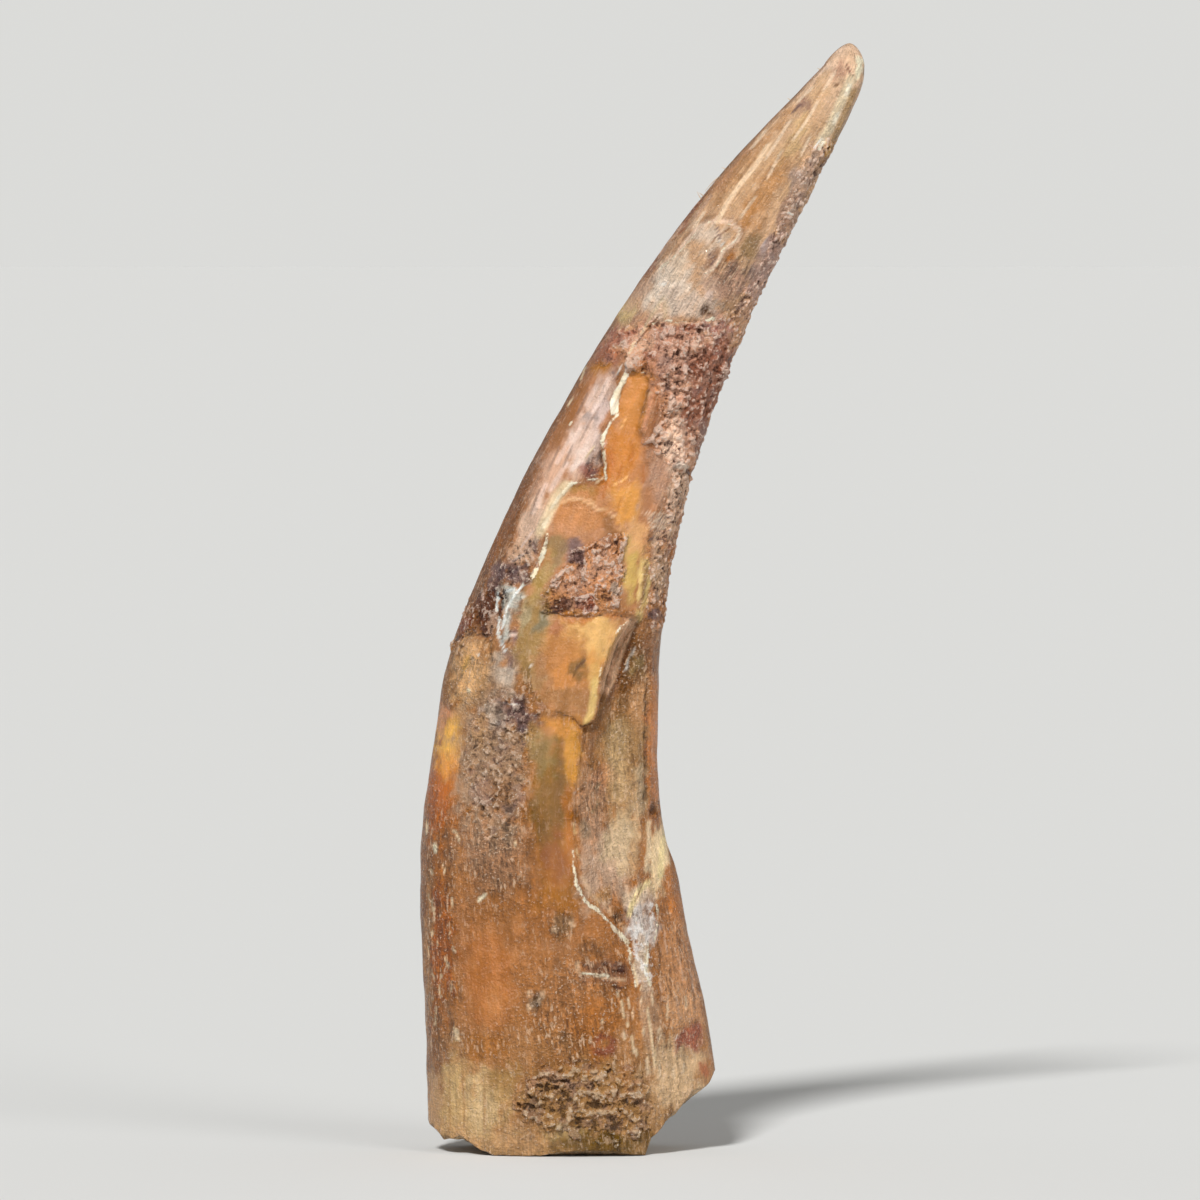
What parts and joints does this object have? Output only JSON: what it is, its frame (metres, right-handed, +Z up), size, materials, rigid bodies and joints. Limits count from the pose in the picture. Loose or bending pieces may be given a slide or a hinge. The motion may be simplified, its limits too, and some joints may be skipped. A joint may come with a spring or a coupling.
{
  "type": "fossil pterosaur tooth",
  "caption": "Curved, tapering fossil tooth, flattened from side to side, with a long chip scar on one face, patchy enamel and a sandy crust. It stands on the break across its root.",
  "frame": {"origin": "the middle of the level part of the break across the root, which the tooth rests on", "axes": "+Z up the tooth as it stands, +X towards the concave rear edge that the tip leans to, -Y out of the face with the long chip scar"},
  "size_m": [0.0161, 0.0063, 0.04],
  "materials": {
    "fossil_tooth": "tea-brown mineralised enamel and dentine, worn to a low shine, with amber, cream, rust and grey patches"
  },
  "bodies": {
    "root": {"tooth": "fossil_tooth"}
  },
  "joints": []
}
